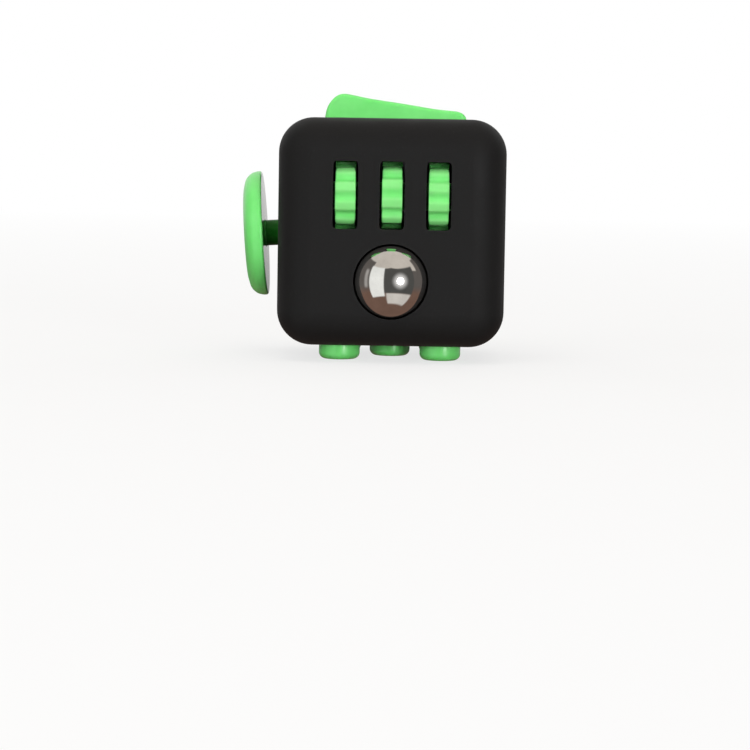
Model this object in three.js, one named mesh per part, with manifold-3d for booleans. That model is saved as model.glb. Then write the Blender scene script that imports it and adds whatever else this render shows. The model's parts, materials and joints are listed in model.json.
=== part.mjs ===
// Fidget cube: a 33 mm hand toy with a different control on each face.
// Millimetres, +Z up. The front face (gears and ball) looks along -Y, the
// joystick is on -X, a thumb dish on +X, the dial on +Y, the rocker on top and
// five buttons underneath. The origin is on the flat tip of the centre button,
// the plane it stands on. Dimensions are measured from the cube's centre.
import * as THREE from 'three';
import { RoundedBoxGeometry } from 'three/addons/geometries/RoundedBoxGeometry.js';
import { mergeVertices } from 'three/addons/utils/BufferGeometryUtils.js';
import Module from 'manifold-3d';

const wasm = await Module();
wasm.setup();
const { degToRad } = THREE.MathUtils;

// ---- driving dimensions ------------------------------------------------------
const SIDE = 33.0;                    // cube edge
const HALF = SIDE / 2;
const EDGE_ROUND = 5.1;
const INNER_ROUND = 3.2;
const WALL = 2.0;                     // side, top and bottom walls
const FRONT_WALL = 2.2;
const INNER = HALF - WALL;            // inner face of the walls
const FRONT_INNER = -HALF + FRONT_WALL;
const PARTING_Y = 12.2;               // parting plane of the rear cover
const STAND = 18.8;                   // cube centre above the standing plane
const BEYOND = 20;                    // reach of cutting boxes, outside the cube

const PILOT_R = 0.75;                 // screw holes in the body
const CLEARANCE_R = 0.8;              // screw holes in the parts held

// rear cover pegs: x, z, front end of the post (y)
const PEGS = [[-12.7, 12.0, 6.0], [12.7, 12.0, 6.0], [-12.6, -6.0, 8.4], [12.6, -6.0, 8.4]];

const SLOT_W = 3.6;
const SLOT_H = 9.8;
const SLOT_Z = 5.44;
const GEAR_PITCH = 6.7;
const GEARS = [                       // phase in degrees
  { name: 'left', x: -GEAR_PITCH, phase: 0 },
  { name: 'middle', x: 0, phase: 6.0 },
  { name: 'right', x: GEAR_PITCH, phase: 0 },
];
const GEAR_CREST_R = 5.0;
const GEAR_VALLEY_R = 4.56;
const GEAR_TEETH = 11;
const GEAR_W = 2.95;
const GEAR_Y = -12.3;                 // axle
const GEAR_Z = 5.29;
const KEEPER_FRONT = -6.9;
const KEEPER_REAR = -5.7;
const KEEPER_SCREW_X = 12.3;

const BALL_R = 6.0;
const BALL_SEAT_R = 6.2;
const BALL_Y = -13.5;
const BALL_Z = -6.89;
const BRACKET_SCREW_X = 3.6;
const BRACKET_SCREW_Y = 1.4;
const BRACKET_FOOT_TOP = -7.5;

const BUTTON_R = 3.0;
const BUTTON_HOLE_R = 3.25;
const BUTTONS = [
  { name: 'front_left', at: [-7.4, -7.5], clicks: true },
  { name: 'front_right', at: [7.4, -7.5], clicks: false },
  { name: 'centre', at: [0, 0], clicks: true },
  { name: 'rear_left', at: [-7.4, 7.4], clicks: false },
  { name: 'rear_right', at: [7.4, 7.4], clicks: true },
];
const PLATE_BOTTOM = -10.2;
const PLATE_TOP = -8.9;
const PLATE_SCREWS = [
  { name: 'left', at: [-12.75, -1.0] },
  { name: 'right', at: [12.75, -1.0] },
  { name: 'rear', at: [0, 8.6] },
];

const ROCKER_Z = 13.0;                // pin height
const ROCKER_TILT = 8.2;              // degrees, left end up at rest
const ROCKER_HALF_L = 10.3;
const ROCKER_HALF_W = 5.1;
const ROCKER_TOP = 6.0;               // above the pin
const CRADLE_SCREW_Y = 9.0;
const LUG_BOTTOM = 12.6;              // cradle screw lugs
const LUG_TOP = 13.8;

const STICK_X = -13.6;                // joystick pivot
const STICK_Z = -0.4;
const STICK_TILT = 3.9;               // degrees, top of the disc outwards at rest
const STICK_R = 9.22;
const GIMBAL_SCREW = 6.1;             // from the pivot, in both y and z

const DIAL_R = 10.0;

// ---- materials ---------------------------------------------------------------
const BLACK = { color: 0x2a2a2c, roughness: 0.62 };
const GREEN = { color: 0x6ee46e, roughness: 0.45 };
const STEEL = { color: 0xc8c8cc, roughness: 0.12, metalness: 1 };
const WIRE = { color: 0xb0b2b6, roughness: 0.3, metalness: 1 };
const SCREW = { color: 0xa8a8aa, roughness: 0.35, metalness: 1 };
const GREY = { color: 0x8a8c90, roughness: 0.6 };
const WHITE = { color: 0xe8e6e0, roughness: 0.6 };
const SILICONE = { color: 0xd8dcdc, roughness: 0.7 };

// ---- solids ------------------------------------------------------------------
// Manifold solid from a closed geometry: welds it, drops the collapsed
// triangles and turns it right side out
function solid(geometry) {
  let welded = geometry.index ? geometry.toNonIndexed() : geometry;
  for (const key of Object.keys(welded.attributes)) {
    if (key !== 'position') welded.deleteAttribute(key);
  }
  welded = mergeVertices(welded, 1e-4);
  const { position } = welded.attributes;
  const index = welded.index.array;
  const corner = (i) => new THREE.Vector3().fromBufferAttribute(position, i);
  const triangles = [];
  let volume = 0;
  for (let i = 0; i < index.length; i += 3) {
    const [a, b, c] = index.slice(i, i + 3);
    if (a === b || b === c || a === c) continue;
    triangles.push([a, b, c]);
    volume += corner(a).dot(corner(b).cross(corner(c)));
  }
  const outward = volume < 0 ? triangles.map(([a, b, c]) => [a, c, b]) : triangles;
  return new wasm.Manifold(new wasm.Mesh({
    numProp: 3,
    vertProperties: new Float32Array(position.array),
    triVerts: new Uint32Array(outward.flat()),
  }));
}
const cut = (body, ...tools) => tools.reduce((rest, tool) => rest.subtract(tool), body);
const join = (body, ...parts) => parts.reduce((sum, part) => sum.add(part), body);

const SIDES = [-1, 1];
// range from near to far, on the negative or positive side of the centre
const span = (side, near, far) => (side > 0 ? [near, far] : [-far, -near]);

// point at a distance along an axis, the other two coordinates in axis order
function onAxis(axis, along, [first, second]) {
  if (axis === 'x') return [along, first, second];
  if (axis === 'y') return [first, along, second];
  return [first, second, along];
}

// turns a geometry whose long axis is Y onto the named axis
function toAxis(geometry, axis) {
  if (axis === 'z') geometry.rotateX(Math.PI / 2);
  if (axis === 'x') geometry.rotateZ(-Math.PI / 2);
  return geometry;
}

function box(x0, x1, y0, y1, z0, z1) {
  const geometry = new THREE.BoxGeometry(x1 - x0, y1 - y0, z1 - z0);
  return solid(geometry.translate((x0 + x1) / 2, (y0 + y1) / 2, (z0 + z1) / 2));
}

// rounded box, centred in x and z
function roundBox(half, y0, y1, radius, segments) {
  const geometry = new RoundedBoxGeometry(2 * half, y1 - y0, 2 * half, segments, radius);
  return solid(geometry.translate(0, (y0 + y1) / 2, 0));
}

// cylinder or cone along an axis, through a point of the other two coordinates
function cyl(axis, radius, from, to, centre, segments, endRadius = radius) {
  const geometry = new THREE.CylinderGeometry(endRadius, radius, to - from, segments, 1);
  return solid(toAxis(geometry, axis).translate(...onAxis(axis, (from + to) / 2, centre)));
}
const pilot = (axis, from, to, centre) => cyl(axis, PILOT_R, from, to, centre, 8);
const clearance = (axis, from, to, centre) => cyl(axis, CLEARANCE_R, from, to, centre, 8);

// revolved body: profile points are [radius, height along the axis]
function turned(axis, profile, at, segments) {
  const points = profile.map(([radius, height]) => new THREE.Vector2(radius, height));
  return solid(toAxis(new THREE.LatheGeometry(points, segments), axis).translate(...at));
}

const sphere = (radius, at, around, down) =>
  solid(new THREE.SphereGeometry(radius, around, down).translate(...at));

const shapeOf = (points) => new THREE.Shape(points.map(([a, b]) => new THREE.Vector2(a, b)));

function roundedRect(halfW, halfH, radius, segments) {
  const points = [];
  for (const [sideW, sideH, start] of [[1, 1, 0], [-1, 1, 90], [-1, -1, 180], [1, -1, 270]]) {
    for (let i = 0; i <= segments; i++) {
      const angle = degToRad(start + 90 * i / segments);
      points.push([
        sideW * (halfW - radius) + radius * Math.cos(angle),
        sideH * (halfH - radius) + radius * Math.sin(angle),
      ]);
    }
  }
  return points;
}

// prism along an axis; the outline holds the other two coordinates in axis order
function prism(axis, outline, from, to) {
  const geometry = new THREE.ExtrudeGeometry(shapeOf(outline), {
    depth: to - from, bevelEnabled: false });
  if (axis === 'y') {
    geometry.rotateX(Math.PI / 2).translate(0, to, 0);
  } else if (axis === 'x') {
    geometry.applyMatrix4(new THREE.Matrix4().makeBasis(
      new THREE.Vector3(0, 1, 0), new THREE.Vector3(0, 0, 1), new THREE.Vector3(1, 0, 0)));
    geometry.translate(from, 0, 0);
  } else {
    geometry.translate(0, 0, from);
  }
  return solid(geometry);
}

class Helix extends THREE.Curve {
  constructor(radius, length, turns) {
    super();
    Object.assign(this, { radius, length, turns });
  }

  getPoint(t, target = new THREE.Vector3()) {
    const angle = 2 * Math.PI * this.turns * t;
    return target.set(
      this.radius * Math.cos(angle), this.length * t, this.radius * Math.sin(angle));
  }
}

// compression spring: a square wire swept along a helix; coil and wire are radii
function spring(axis, { coil, wire, turns }, from, to, centre) {
  const STEPS_PER_TURN = 10;
  const END_GAP = 1.1 * wire;
  const section = [0, 1, 2, 3].map((i) => {
    const angle = 2 * Math.PI * i / 4;
    return [wire * Math.cos(angle), wire * Math.sin(angle)];
  });
  const geometry = new THREE.ExtrudeGeometry(shapeOf(section), {
    steps: Math.round(turns * STEPS_PER_TURN),
    bevelEnabled: false,
    extrudePath: new Helix(coil, to - from - 2 * END_GAP, turns),
  });
  geometry.translate(0, END_GAP, 0);
  return solid(toAxis(geometry, axis).translate(...onAxis(axis, from, centre)));
}

// screw with a domed head and a cross recess; the head's underside is at seat
// and its top faces the dir (+1 or -1) way along the axis
function screw(axis, dir, seat, length, centre, shankR = 0.62, headR = 1.35) {
  const profile = [[0, -length], [shankR, -(length - 0.5)], [shankR, 0], [headR, 0],
    [headR, 0.35], [headR * 0.75, 0.8], [0, 0.8]];
  const body = turned('y', profile.map(([r, h]) => [r, h * dir]), [0, 0, 0], 10);
  const recess = span(dir, 0.5, 1.2);
  const reach = headR * 0.62;
  const cross = join(
    box(-reach, reach, ...recess, -0.16, 0.16),
    box(-0.16, 0.16, ...recess, -reach, reach));
  const turn = { x: [0, 0, -90], y: [0, 0, 0], z: [90, 0, 0] }[axis];
  return body.subtract(cross).rotate(turn).translate(onAxis(axis, seat, centre));
}

// ---- scene graph -------------------------------------------------------------
const model = new THREE.Group();
const cube = new THREE.Group();
cube.position.z = STAND;
model.add(cube);

function add(name, body, finish, parent = cube) {
  const { numProp, vertProperties, triVerts } = body.getMesh();
  const positions = vertProperties.filter((_, i) => i % numProp < 3);
  const geometry = new THREE.BufferGeometry();
  geometry.setAttribute('position', new THREE.BufferAttribute(positions, 3));
  geometry.setIndex(new THREE.BufferAttribute(new Uint32Array(triVerts), 1));
  const mesh = new THREE.Mesh(geometry, new THREE.MeshStandardMaterial(finish));
  mesh.name = name;
  parent.add(mesh);
}

// group that holds a control at rest, tilted about Y at its pivot
function tilted(x, z, degrees) {
  const group = new THREE.Group();
  group.position.set(x, 0, z);
  group.rotation.y = degToRad(degrees);
  cube.add(group);
  return group;
}

// ---- casing ------------------------------------------------------------------
const block = roundBox(HALF, -HALF, HALF, EDGE_ROUND, 3);

// ellipsoid on the right face, radii in x, y, z
const dish = (radii, x) =>
  solid(new THREE.SphereGeometry(1, 20, 8).scale(...radii).translate(x, 0, 0));

// axle ribs and keeper posts behind the front wall
function gearSupports() {
  const ribs = [[-10.7, -9.3], [-4.1, -2.6], [2.6, 4.1], [9.3, 10.7]];
  return [
    ...ribs.map(([x0, x1]) => box(x0, x1, -HALF + 1, -11.0, GEAR_Z - 2.0, GEAR_Z + 2.0)),
    ...SIDES.map((side) =>
      cyl('y', 1.9, -HALF + 1, KEEPER_FRONT - 0.1, [side * KEEPER_SCREW_X, GEAR_Z], 12)),
  ];
}

// posts that take the rear cover's pegs, webbed to the nearest walls
function pegPosts() {
  return PEGS.flatMap(([x, z, y0]) => {
    const sideWeb = span(Math.sign(x), Math.abs(x), INNER + 0.6);
    const parts = [
      cyl('y', 1.9, y0, PARTING_Y, [x, z], 12),
      box(...sideWeb, y0, PARTING_Y, z - 1.6, z + 1.6),
    ];
    if (z > 0) parts.push(box(x - 1.6, x + 1.6, y0, PARTING_Y, z, INNER + 0.4));
    return parts;
  });
}

// bosses for the button plate screws, standing on the bottom wall
function plateBosses() {
  const z = [-INNER - 0.5, PLATE_BOTTOM - 0.1];
  return [
    ...SIDES.map((side) => box(...span(side, 11.5, INNER + 0.5), -2.6, 0.6, ...z)),
    cyl('z', 1.5, ...z, [0, 8.6], 12),
  ];
}

// openings for the controls
function faceOpenings() {
  const slot = roundedRect(SLOT_W / 2, SLOT_H / 2, 0.6, 2);
  const slotAt = (gearX) => slot.map(([x, z]) => [x + gearX, z + SLOT_Z]);
  return [
    ...GEARS.map((gear) => prism('y', slotAt(gear.x), -HALF - 1, FRONT_INNER + 0.2)),
    sphere(BALL_SEAT_R, [0, BALL_Y, BALL_Z], 24, 14),
    ...BUTTONS.map(({ at }) => cyl('z', BUTTON_HOLE_R, -HALF - 1, -INNER + 0.2, at, 20)),
    prism('z', roundedRect(11.0, 5.5, 1.5, 2), INNER - 0.2, HALF + 1),
    cyl('x', 3.0, -HALF - 1, -INNER + 0.2, [0, STICK_Z], 20),
    cyl('x', 5.3, -15.7, -INNER + 0.2, [0, STICK_Z], 16),
    dish([2.2, 10.2, 8.2], HALF + 0.3),
  ];
}

// axle slots open to the rear, screw pilots and peg sockets
function mountings() {
  return [
    cyl('x', 1.14, -11.2, 11.2, [GEAR_Y, GEAR_Z], 12),
    box(-11.2, 11.2, GEAR_Y, -10.8, GEAR_Z - 1.12, GEAR_Z + 1.12),
    ...SIDES.flatMap((side) => [
      pilot('y', -13.2, KEEPER_FRONT, [side * KEEPER_SCREW_X, GEAR_Z]),
      pilot('z', LUG_TOP, 15.9, [0, side * CRADLE_SCREW_Y]),
      pilot('x', -16.0, -INNER + 0.2, [GIMBAL_SCREW, STICK_Z + side * GIMBAL_SCREW]),
    ]),
    ...PLATE_SCREWS.map(({ at }) => pilot('z', -14.2, PLATE_BOTTOM, at)),
    ...PEGS.map(([x, z, y0]) => cyl('y', 1.25, y0 + 0.8, PARTING_Y + 1, [x, z], 10)),
  ];
}

function bodyShell() {
  const hollow = cut(
    block.intersect(box(-BEYOND, BEYOND, -BEYOND, PARTING_Y, -BEYOND, BEYOND)),
    roundBox(INNER, FRONT_INNER, 24, INNER_ROUND, 2));
  const filled = join(
    hollow,
    // wall bulged inwards behind the thumb dish
    dish([3.7, 11.2, 9.6], HALF + 0.2).intersect(box(10, HALF - 1.0, -11, 11, -9, 9)),
    ...gearSupports(),
    // ring behind the ball opening
    cyl('y', 7.0, -HALF + 1, -13.2, [0, BALL_Z], 24),
    ...pegPosts(),
    ...plateBosses(),
    // standoffs for the rocker cradle, under the top wall
    ...SIDES.map((side) =>
      cyl('z', 1.7, LUG_TOP + 0.15, INNER + 0.5, [0, side * CRADLE_SCREW_Y], 12)));
  return cut(filled, ...faceOpenings(), ...mountings());
}

function rearCover() {
  const inside = 13.9;
  const cap = cut(
    block.intersect(box(-BEYOND, BEYOND, PARTING_Y + 0.05, BEYOND, -BEYOND, BEYOND)),
    roundBox(INNER, 2, inside, INNER_ROUND, 2));
  const withPegs = join(
    cap,
    cyl('y', 4.4, 12.7, inside + 0.5, [0, 0], 18),
    ...PEGS.map(([x, z, y0]) => cyl('y', 0.85, y0 + 1.3, inside + 0.5, [x, z], 10, 1.05)));
  return cut(
    withPegs,
    cyl('y', DIAL_R + 0.35, 15.0, 18, [0, 0], 36),
    cyl('y', 2.7, 12, 16, [0, 0], 18));
}

add('body_shell', bodyShell(), BLACK);
add('rear_cover', rearCover(), BLACK);

// ---- front: three thumb gears on one axle ------------------------------------
// [y, z] outline; each tooth has a flat crest, steep flanks and a rounded valley
function gearOutline(phase) {
  const STEPS_PER_TOOTH = 8;
  const points = [];
  for (let i = 0; i < GEAR_TEETH * STEPS_PER_TOOTH; i++) {
    const pitches = i / STEPS_PER_TOOTH;       // whole on a crest
    const offCrest = Math.abs(pitches - Math.round(pitches));
    const fall = Math.min(Math.max((offCrest - 0.2) / 0.25, 0), 1);
    const drop = (GEAR_CREST_R - GEAR_VALLEY_R) * fall * fall * (3 - 2 * fall);
    const radius = GEAR_CREST_R - drop;
    const angle = 2 * Math.PI * (pitches + 0.5) / GEAR_TEETH + degToRad(phase) + Math.PI;
    points.push([GEAR_Y + radius * Math.cos(angle), GEAR_Z - radius * Math.sin(angle)]);
  }
  return points;
}

function thumbGear({ x, phase }) {
  const axle = [GEAR_Y, GEAR_Z];
  const wheel = prism('x', gearOutline(phase), x - GEAR_W / 2, x + GEAR_W / 2);
  const hub = cyl('x', 2.0, x - 2.3, x + 2.3, axle, 14);
  return cut(join(wheel, hub), cyl('x', 1.25, x - 3, x + 3, axle, 14));
}

function gearAxle() {
  const profile = [[0, -11.0], [0.8, -11.0], [1.0, -10.8], [1.0, 10.8], [0.8, 11.0], [0, 11.0]];
  return turned('x', profile, [0, GEAR_Y, GEAR_Z], 14);
}

// bar across the posts, with fingers that close the axle slots
function axleKeeper() {
  const fingers = [[-10.25, -9.4], [-4.0, -2.7], [2.7, 4.0], [9.4, 10.25]];
  const bar = join(
    box(-13.6, 13.6, KEEPER_FRONT, KEEPER_REAR, GEAR_Z - 1.6, GEAR_Z + 1.6),
    ...fingers.map(([x0, x1]) => box(x0, x1, -11.15, -6.5, GEAR_Z - 1.0, GEAR_Z + 1.0)));
  return cut(bar, ...SIDES.map((side) =>
    cyl('y', CLEARANCE_R, -8, -5, [side * KEEPER_SCREW_X, GEAR_Z], 10)));
}

for (const gear of GEARS) add('gear_' + gear.name, thumbGear(gear), GREEN);
add('gear_axle', gearAxle(), STEEL);
add('gear_axle_keeper', axleKeeper(), GREY);
for (const [name, side] of [['left', -1], ['right', 1]]) {
  const at = [side * KEEPER_SCREW_X, GEAR_Z];
  add('keeper_screw_' + name, screw('y', 1, KEEPER_REAR + 0.1, 5.6, at), SCREW);
}

// ---- front: steel ball in a sprung cup ---------------------------------------
function ballCup() {
  const CUP_R = 6.15;                          // hollow that holds the ball
  const MOUTH_R = 4.4;
  const hollow = [1, 2, 3].map((i) => {
    const angle = Math.asin(MOUTH_R / CUP_R) * i / 3;
    return [CUP_R * Math.sin(angle), BALL_Y + CUP_R * Math.cos(angle)];
  });
  const outside = [[4.6, -9.0], [4.6, -6.5], [4.3, -6.2], [1.2, -6.2],
    [1.2, -1.4], [0.9, -1.0], [0, -1.0]];
  return turned('y', [[0, BALL_Y + CUP_R], ...hollow, ...outside], [0, 0, BALL_Z], 18);
}

// upright with an open slot for the cup's stem, on two feet
function ballBracket() {
  const bottom = PLATE_TOP + 0.1;
  const feet = SIDES.map((side) =>
    box(...span(side, 2.0, 5.2), -2.9, 3.4, bottom, BRACKET_FOOT_TOP));
  return cut(
    join(box(-5.2, 5.2, -3.0, -1.6, bottom, -2.4), ...feet),
    cyl('y', 1.55, -4, 0, [0, BALL_Z], 12),
    box(-1.55, 1.55, -4, 0, -9.5, BALL_Z),
    ...SIDES.map((side) => clearance('z', -9.5, -6, [side * BRACKET_SCREW_X, BRACKET_SCREW_Y])));
}

add('steel_ball', sphere(BALL_R, [0, BALL_Y, BALL_Z], 24, 14), STEEL);
add('ball_cup', ballCup(), WHITE);
const ballCoil = { coil: 2.1, wire: 0.24, turns: 3.5 };
add('ball_spring', spring('y', ballCoil, -6.15, -3.1, [0, BALL_Z]), WIRE);
add('ball_bracket', ballBracket(), GREY);
for (const [name, side] of [['left', -1], ['right', 1]]) {
  const at = [side * BRACKET_SCREW_X, BRACKET_SCREW_Y];
  add('bracket_screw_' + name, screw('z', 1, BRACKET_FOOT_TOP + 0.1, 2.5, at), SCREW);
}

// ---- underneath: five buttons ------------------------------------------------
// flanged plunger with a spring groove round a central boss
const BUTTON_PROFILE = [
  [0, -STAND], [BUTTON_R - 0.7, -STAND], [BUTTON_R - 0.2, -STAND + 0.22],
  [BUTTON_R, -STAND + 0.8], [BUTTON_R, -14.45], [3.9, -14.45], [4.6, -13.95],
  [4.6, -12.5], [3.3, -12.5], [3.3, -13.35], [2.5, -13.35], [2.5, -12.5],
  [1.4, -12.4], [1.4, -12.1], [0, -12.1],
];
const PAD_TOP = PLATE_BOTTOM - 0.05;
const DOME_PROFILE = [[0, -10.75], [1.2, -10.68], [1.9, -10.5], [2.25, -10.38],
  [2.25, PAD_TOP], [0, PAD_TOP]];
const PAD_PROFILE = [[0, -10.78], [1.7, -10.78], [1.95, -10.6], [1.95, PAD_TOP], [0, PAD_TOP]];

function buttonPlate() {
  const outline = [[-13.9, -11.2], [-6.0, -11.2], [-6.0, -3.2], [6.0, -3.2],
    [6.0, -11.2], [13.9, -11.2], [13.9, 11.4], [-13.9, 11.4]];
  return cut(
    prism('z', outline, PLATE_BOTTOM, PLATE_TOP),
    ...PLATE_SCREWS.map(({ at }) => clearance('z', -11, -8, at)),
    ...SIDES.map((side) =>
      cyl('z', 0.72, -11, -8, [side * BRACKET_SCREW_X, BRACKET_SCREW_Y], 8)));
}

const buttonCoil = { coil: 2.95, wire: 0.22, turns: 2.5 };
for (const { name, at } of BUTTONS) {
  add('button_' + name, turned('z', BUTTON_PROFILE, [...at, 0], 18), GREEN);
  const coil = spring('z', buttonCoil, -13.3, PLATE_BOTTOM - 0.03, at);
  add('button_spring_' + name, coil, WIRE);
}
add('button_plate', buttonPlate(), GREY);
for (const { name, at } of PLATE_SCREWS) {
  add('plate_screw_' + name, screw('z', 1, PLATE_TOP + 0.05, 4.6, at), SCREW);
}
// snap domes click over three of the buttons, soft pads keep the other two quiet
for (const { name, at, clicks } of BUTTONS) {
  if (clicks) add('click_dome_' + name, turned('z', DOME_PROFILE, [...at, 0], 14), WIRE);
  else add('quiet_pad_' + name, turned('z', PAD_PROFILE, [...at, 0], 14), SILICONE);
}

// ---- top: rocker switch ------------------------------------------------------
// right half of the side outline, [x, z] about the pin
const ROCKER_SIDE = [
  [0, ROCKER_TOP - 0.28], [4.6, ROCKER_TOP - 0.27], [6.5, ROCKER_TOP - 0.16],
  [8.3, ROCKER_TOP], [9.1, ROCKER_TOP - 0.18], [9.75, ROCKER_TOP - 0.65],
  [10.12, ROCKER_TOP - 1.4], [ROCKER_HALF_L, ROCKER_TOP - 2.5],
  [ROCKER_HALF_L, 1.7], [ROCKER_HALF_L - 0.4, 1.5],
];

// [y, z] section across the rocker, its top edges rounded
function rockerSection() {
  const ROUND_Y = 0.7;
  const ROUND_Z = 0.9;
  const edge = [0, 30, 60, 90].map(degToRad).map((angle) => [
    ROCKER_HALF_W - ROUND_Y + ROUND_Y * Math.cos(angle),
    ROCKER_TOP - ROUND_Z + ROUND_Z * Math.sin(angle),
  ]);
  const otherEdge = edge.map(([y, z]) => [-y, z]).reverse();
  return [[-ROCKER_HALF_W, 0], [ROCKER_HALF_W, 0], ...edge, ...otherEdge];
}

function rockerBody() {
  const leftHalf = ROCKER_SIDE.slice(1).reverse().map(([x, z]) => [-x, z]);
  const outside = prism('y', [...leftHalf, ...ROCKER_SIDE], -ROCKER_HALF_W, ROCKER_HALF_W)
    .intersect(prism('x', rockerSection(), -12, 12))
    .intersect(prism('z', roundedRect(ROCKER_HALF_L, ROCKER_HALF_W, 1.2, 3), -1, 8));
  const hollowX = ROCKER_HALF_L - 1.2;
  const hollowY = ROCKER_HALF_W - 1.2;
  const hubbed = join(
    outside.subtract(box(-hollowX, hollowX, -hollowY, hollowY, 0, 2.6)),
    cyl('y', 2.2, -3.2, 3.2, [0, 0], 16),
    box(-2.2, 2.2, -3.2, 3.2, 0, 3.2),
    cyl('z', 2.2, -5.0, 0.5, [0, 0], 16));
  return cut(
    hubbed,
    cyl('y', 0.95, -6, 6, [0, 0], 14),         // pin hole
    cyl('z', 1.35, -6, -1.5, [0, 0], 16));     // plunger bore
}

function rockerPlunger() {
  const profile = [[0, -6.9], [0.6, -6.75], [1.0, -6.2], [1.1, -5.6], [1.1, -3.5], [0, -3.5]];
  return turned('z', profile, [0, 0, 0], 14);
}

function rockerPin() {
  const profile = [[0, -5.2], [0.6, -5.2], [0.75, -5.05], [0.75, 4.9],
    [1.15, 4.9], [1.15, 5.25], [0, 5.25]];
  return turned('y', profile, [0, 0, ROCKER_Z], 12);
}

// base with a detent path: an arc about the pin, a groove at each end of the throw
function rockerCradle() {
  const GROOVE_ORBIT = 6.45;
  const tilt = degToRad(ROCKER_TILT);
  const frame = join(
    box(-3.2, 3.2, -4.8, 4.8, 4.4, 8.0),
    ...SIDES.map((side) => box(-2.2, 2.2, ...span(side, 3.6, 4.8), 6, 14.2)),
    ...SIDES.map((side) => box(-2.6, 2.6, ...span(side, 4.2, 10.7), LUG_BOTTOM, LUG_TOP)));
  const path = join(
    box(-8, 8, -3.6, 3.6, 6.1, 12),
    cyl('y', 7.2, -3.6, 3.6, [0, ROCKER_Z], 60));
  const grooves = SIDES.map((side) => cyl('y', 1.15, -3.6, 3.6,
    [side * GROOVE_ORBIT * Math.sin(tilt), ROCKER_Z - GROOVE_ORBIT * Math.cos(tilt)], 16));
  return cut(
    frame, path, ...grooves,
    cyl('y', 1.4, 4.8, 5.6, [0, ROCKER_Z], 14),
    cyl('y', 0.9, -6, 6, [0, ROCKER_Z], 14),
    ...SIDES.map((side) => clearance('z', 12, 14.5, [0, side * CRADLE_SCREW_Y])));
}

const rocker = tilted(0, ROCKER_Z, ROCKER_TILT);
add('rocker', rockerBody(), GREEN, rocker);
add('rocker_plunger', rockerPlunger(), WHITE, rocker);
const rockerCoil = { coil: 0.85, wire: 0.16, turns: 3.5 };
add('rocker_spring', spring('z', rockerCoil, -3.45, -1.6, [0, 0]), WIRE, rocker);
add('rocker_pin', rockerPin(), STEEL);
add('rocker_cradle', rockerCradle(), GREY);
for (const [name, side] of [['front', -1], ['rear', 1]]) {
  const at = [0, side * CRADLE_SCREW_Y];
  add('cradle_screw_' + name, screw('z', -1, LUG_BOTTOM - 0.05, 3.1, at), SCREW);
}

// ---- left: joystick on a gimbal ----------------------------------------------
// disc and stem, [radius, distance outwards from the pivot]
const CAP_PROFILE = [
  [0, 7.8], [4.4, 7.86], [7.0, 8.17], [7.8, 8.08], [8.55, 7.7], [9.05, 7.05],
  [STICK_R, 6.3], [STICK_R, 5.6], [8.9, 5.25], [1.9, 5.2], [1.9, 2.4],
  [1.3, 2.1], [1.3, -2.1], [0, -2.1],
];

function joystickCap() {
  const profile = CAP_PROFILE.map(([radius, outwards]) => [radius, -outwards]);
  return cut(turned('x', profile, [0, 0, 0], 28), cyl('x', 0.75, -4.2, 5, [0, 0], 8));
}

// bored ball with a trunnion on each side
function joystickHub() {
  const HUB_R = 2.6;
  const profile = [[1.45, -2.15]];
  for (let i = 0; i <= 6; i++) {
    const angle = degToRad(-54 + 18 * i);
    profile.push([HUB_R * Math.cos(angle), HUB_R * Math.sin(angle)]);
  }
  profile.push([1.45, 2.15], [1.45, -2.15]);
  return join(
    turned('x', profile, [0, 0, 0], 16),
    ...SIDES.map((side) => cyl('y', 0.6, ...span(side, 2.0, 4.2), [0, 0], 10)));
}

function gimbalRing() {
  const profile = [[3.05, -1.05], [4.3, -1.05], [4.3, 1.05], [3.05, 1.05], [3.05, -1.05]];
  const ring = join(
    turned('x', profile, [0, 0, 0], 24),
    ...SIDES.map((side) => cyl('z', 0.65, ...span(side, 4.0, 6.1), [0, 0], 10)));
  return ring.subtract(cyl('y', 0.8, -6, 6, [0, 0], 12)).translate([STICK_X, 0, STICK_Z]);
}

// C-shaped bracket, its two arms slotted for the ring's pins
function gimbalBracket() {
  const x = [-14.4, -11.9];
  const frame = join(
    box(...x, 5.0, 7.6, -7.5, 7.5),
    ...SIDES.map((side) => box(...x, -2.4, 7.6, ...span(side, 4.85, 7.5))));
  return cut(
    frame,
    cyl('z', 0.9, -6.5, 6.5, [STICK_X, 0], 12),
    box(-15, STICK_X, -0.9, 0.9, -6.5, 6.5),
    ...SIDES.map((side) => clearance('x', -16, -11, [GIMBAL_SCREW, side * GIMBAL_SCREW])),
  ).translate([0, 0, STICK_Z]);
}

const joystick = tilted(STICK_X, STICK_Z, -STICK_TILT);
add('joystick_cap', joystickCap(), GREEN, joystick);
add('joystick_hub', joystickHub(), WHITE, joystick);
add('joystick_screw', screw('x', 1, 2.3, 6.2, [0, 0], 0.6, 1.7), SCREW, joystick);
add('gimbal_ring', gimbalRing(), WHITE);
add('gimbal_bracket', gimbalBracket(), GREY);
for (const [name, side] of [['upper', 1], ['lower', -1]]) {
  const at = [GIMBAL_SCREW, STICK_Z + side * GIMBAL_SCREW];
  add('gimbal_screw_' + name, screw('x', 1, -11.85, 3.9, at), SCREW);
}

// ---- back: spinning dial -----------------------------------------------------
function spinDial() {
  const profile = [[0, 12.3], [2.1, 12.3], [2.4, 12.6], [2.4, 15.3], [DIAL_R - 0.3, 15.3],
    [DIAL_R, 15.6], [DIAL_R, 16.5], [DIAL_R - 0.5, 17.0], [DIAL_R - 1.4, 17.1],
    [6.0, 16.75], [0, 16.6]];
  return cut(
    turned('y', profile, [0, 0, 0], 32),
    sphere(3.2, [0, 19.0, 6.0], 14, 10),       // finger dimple
    clearance('y', 12, 14.8, [0, 0]));
}

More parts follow.
